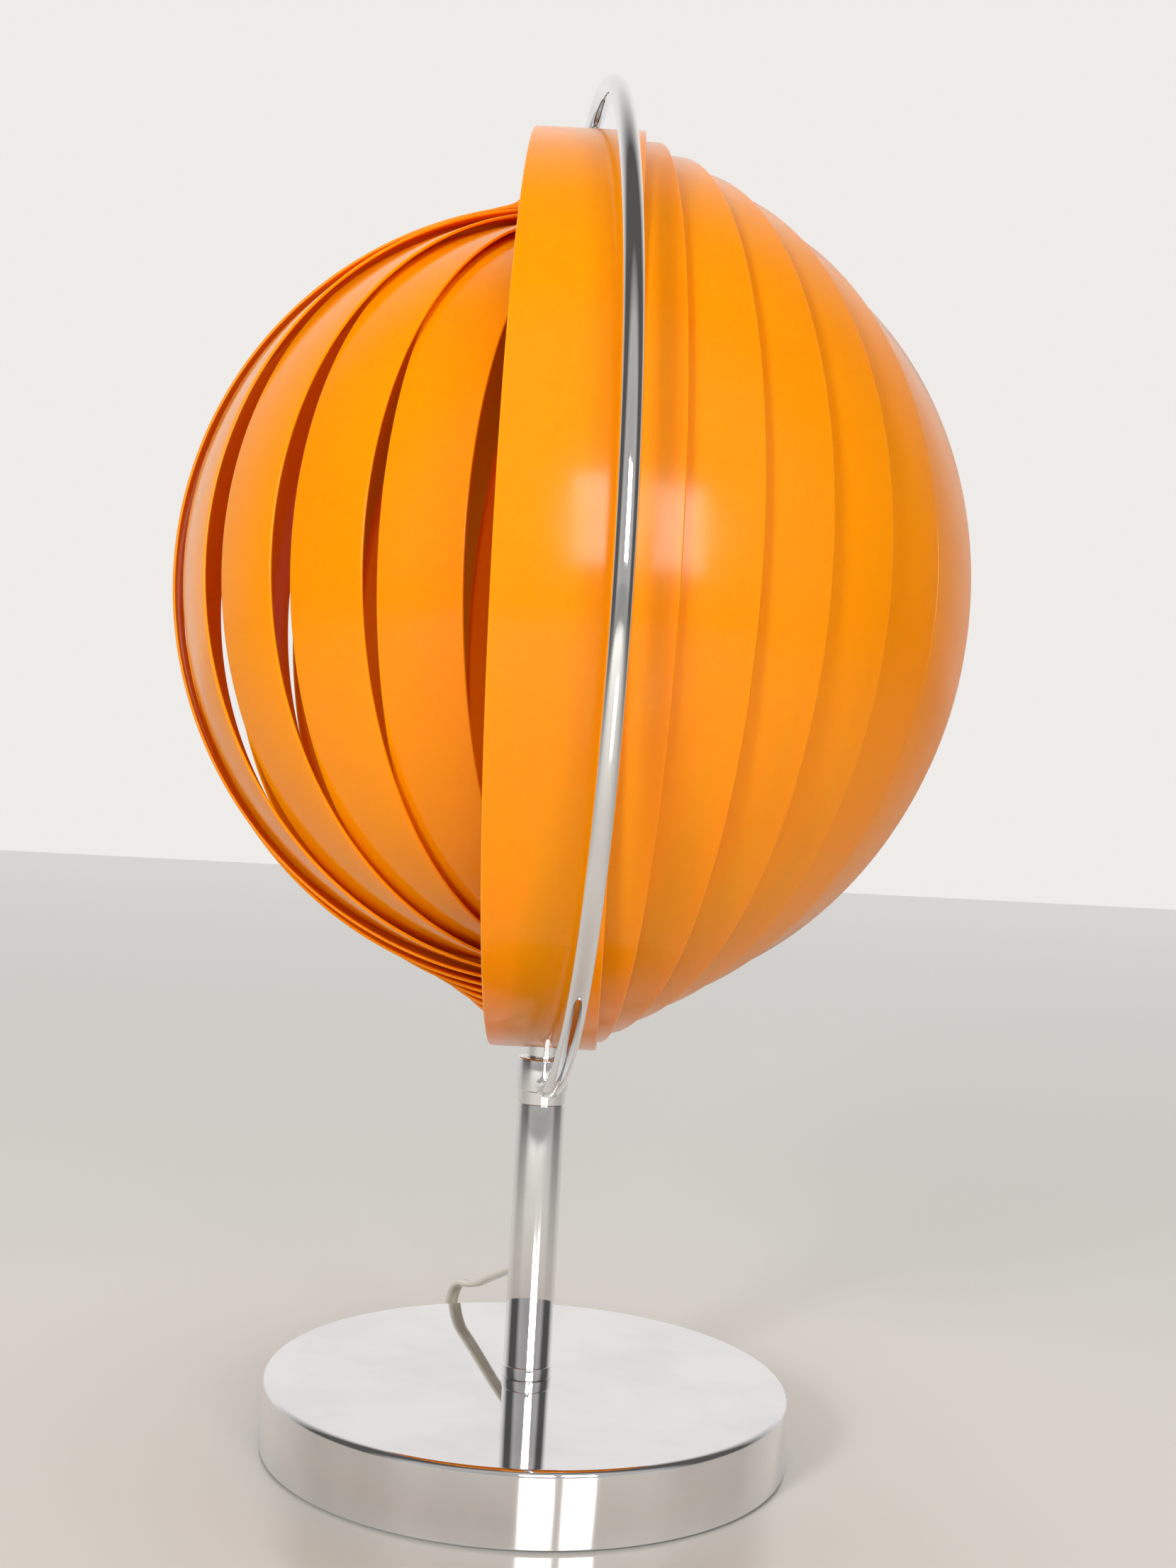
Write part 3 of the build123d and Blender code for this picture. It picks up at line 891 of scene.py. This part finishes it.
@dataclass
class Studio:
    """Pale floor, soft light and the camera."""

    hoop_heading: float = radians(4.6)
    distance: float = 0.750
    height: float = 0.2655
    pitch: float = 0.0362
    roll: float = 0.0543
    yaw: float = 0.0139
    focal: float = 2502.0
    centre: tuple[float, float] = (826.0, 1052.0)
    image: tuple[int, int] = (1659, 2212)
    sensor: float = 36.0
    room: tuple[tuple[float, float], ...] = (
        (0.0, 0.42), (0.20, 0.50), (0.34, 0.10), (0.60, 0.10), (0.74, 0.55), (0.86, 0.86))
    floor_reach: float = 6.0

    def camera(self) -> None:
        """Place the camera from its distance, height and three turns, and frame the lamp."""
        turn = Matrix.Rotation(-self.hoop_heading, 3, "Z")
        ahead = Vector((sin(self.yaw) * cos(self.pitch), cos(self.yaw) * cos(self.pitch), sin(self.pitch)))
        level = Vector((cos(self.yaw), -sin(self.yaw), 0.0))
        upright = level.cross(ahead)
        right = cos(self.roll) * level + sin(self.roll) * upright
        up = -sin(self.roll) * level + cos(self.roll) * upright
        axes = Matrix((turn @ right, turn @ up, -(turn @ ahead))).transposed()
        lens = bpy.data.cameras.new("front_view")
        lens.sensor_fit = "VERTICAL"
        lens.sensor_height = self.sensor
        lens.lens = self.focal / self.image[1] * self.sensor
        longest = max(self.image)
        lens.shift_x = (self.image[0] / 2 - self.centre[0]) / longest
        lens.shift_y = (self.centre[1] - self.image[1] / 2) / longest
        lens.clip_start = 0.01
        view = bpy.data.objects.new("front_view", lens)
        bpy.context.scene.collection.objects.link(view)
        place = Matrix.Translation(turn @ Vector((0.0, -self.distance, self.height)))
        view.matrix_world = place @ axes.to_4x4()
        bpy.context.scene.camera = view

    def floor(self) -> None:
        """Lay a plain pale floor."""
        reach = self.floor_reach
        mesh = bpy.data.meshes.new("floor")
        corners = [(-reach, -reach, 0), (reach, -reach, 0), (reach, reach, 0), (-reach, reach, 0)]
        mesh.from_pydata(corners, [], [(0, 1, 2, 3)])
        floor = bpy.data.objects.new("floor", mesh)
        material, shader = new_material("floor_paint")
        shader.inputs["Base Color"].default_value = (0.66, 0.65, 0.61, 1.0)
        shader.inputs["Roughness"].default_value = 0.12
        mesh.materials.append(material)
        bpy.context.scene.collection.objects.link(floor)

    def lamp(self, name: str, place: tuple[float, float, float], target: tuple[float, float, float],
             size: tuple[float, float], power: float, mirrored: bool = True) -> None:
        """Add one soft light.

        Args:
            name: the light's name.
            place: where it hangs.
            target: what it points at.
            size: its width and height in metres.
            power: watts.
            mirrored: whether glossy surfaces show it.
        """
        light = bpy.data.lights.new(name, "AREA")
        light.shape = "RECTANGLE"
        light.size, light.size_y = size
        light.energy = power
        light.color = (1.0, 0.985, 0.96)
        holder = bpy.data.objects.new(name, light)
        bpy.context.scene.collection.objects.link(holder)
        holder.visible_glossy = mirrored
        holder.location = place
        holder.rotation_euler = (Vector(target) - Vector(place)).to_track_quat("-Z", "Y").to_euler()

    def world(self) -> None:
        """Light the surroundings as a room: a white wall behind the lamp, dim sides, a grey room in front.

        The brightness follows how far a direction points to the back, y from -1 to 1, on a colour ramp.
        """
        world = bpy.data.worlds.new("room")
        bpy.context.scene.world = world
        world.use_nodes = True
        nodes, links = world.node_tree.nodes, world.node_tree.links
        shade = nodes["Background"]
        place = nodes.new("ShaderNodeTexCoord")
        split = nodes.new("ShaderNodeSeparateXYZ")
        size = nodes.new("ShaderNodeMapRange")
        size.inputs["From Min"].default_value = -1.0
        ramp = nodes.new("ShaderNodeValToRGB")
        links.new(place.outputs["Generated"], split.inputs["Vector"])
        links.new(split.outputs["Y"], size.inputs["Value"])
        links.new(size.outputs["Result"], ramp.inputs["Fac"])
        while len(ramp.color_ramp.elements) < len(self.room):
            ramp.color_ramp.elements.new(0.5)
        for element, (position, level) in zip(ramp.color_ramp.elements, self.room):
            element.position = position
            element.color = (level, 0.975 * level, 0.95 * level, 1.0)
        links.new(ramp.outputs["Color"], shade.inputs["Color"])

    def build(self) -> None:
        """Set up the whole studio."""
        self.camera()
        self.floor()
        self.world()
        bpy.context.scene.view_settings.view_transform = "Standard"
        for side, x in (("left", 0.06), ("right", 0.60)):
            self.lamp(f"window_{side}", (x, -1.75, 0.68), (0, 0, 0.35), (0.42, 0.6), 9.0)
        self.lamp("side_window", (-1.0, -1.5, 0.8), (0, 0, 0.3), (0.3, 0.4), 21.0, False)
        self.lamp("ceiling", (0.2, 0.4, 2.4), (0, 0, 0.3), (1.6, 1.6), 17.0, False)


def main() -> None:
    """Build the finishes, every assembly and the studio."""
    logging.basicConfig(level=logging.INFO, format="%(name)s %(message)s")
    chrome = MetalFinish("mirror_chrome", (0.87, 0.87, 0.88), 0.02, 0.06, Metal.MIRROR).build()
    zinc = MetalFinish("zinc_plate", (0.62, 0.62, 0.60), 0.28, 0.42, Metal.PLATED, 0.2).build()
    iron = MetalFinish("cast_iron", (0.10, 0.10, 0.10), 0.6, 0.8, Metal.CAST, 0.6).build()
    brass = MetalFinish("bare_brass", (0.80, 0.60, 0.28), 0.2, 0.35, Metal.PLATED, 0.15).build()
    white = MouldedPlastic("white_moulding", (0.80, 0.79, 0.75), 0.3).build()
    nylon = MouldedPlastic("natural_nylon", (0.72, 0.70, 0.62), 0.4).build()
    Studio().build()
    base = Base(chrome)
    base.shell()
    base.stem()
    hub = Hub(chrome)
    hub.hub()
    hub.neck()
    hub.ball()
    Hoop(chrome).build()
    Globe(ShadePlastic().build()).build()
    BulbUnit(BulbGlass().build(), zinc, white).build()
    Lead(ClearFlex().build(), white, brass).build()
    dress(chrome, "top_pivot_rod")
    dress(zinc, "base_plate", "base_plate_screws", "base_posts", "base_washer", "base_lock_nut", "base_stud",
          "stem_lower_plug", "stem_upper_plug", "hub_nipple", "lower_lock_nut", "hoop_stud", "top_pivot_nut")
    dress(iron, "base_weight")
    dress(brass, "lampholder_contact")
    dress(nylon, "lower_spacers", "upper_spacers")
    dress(Felt().build(), "felt_pad")


if __name__ == "__main__":
    main()
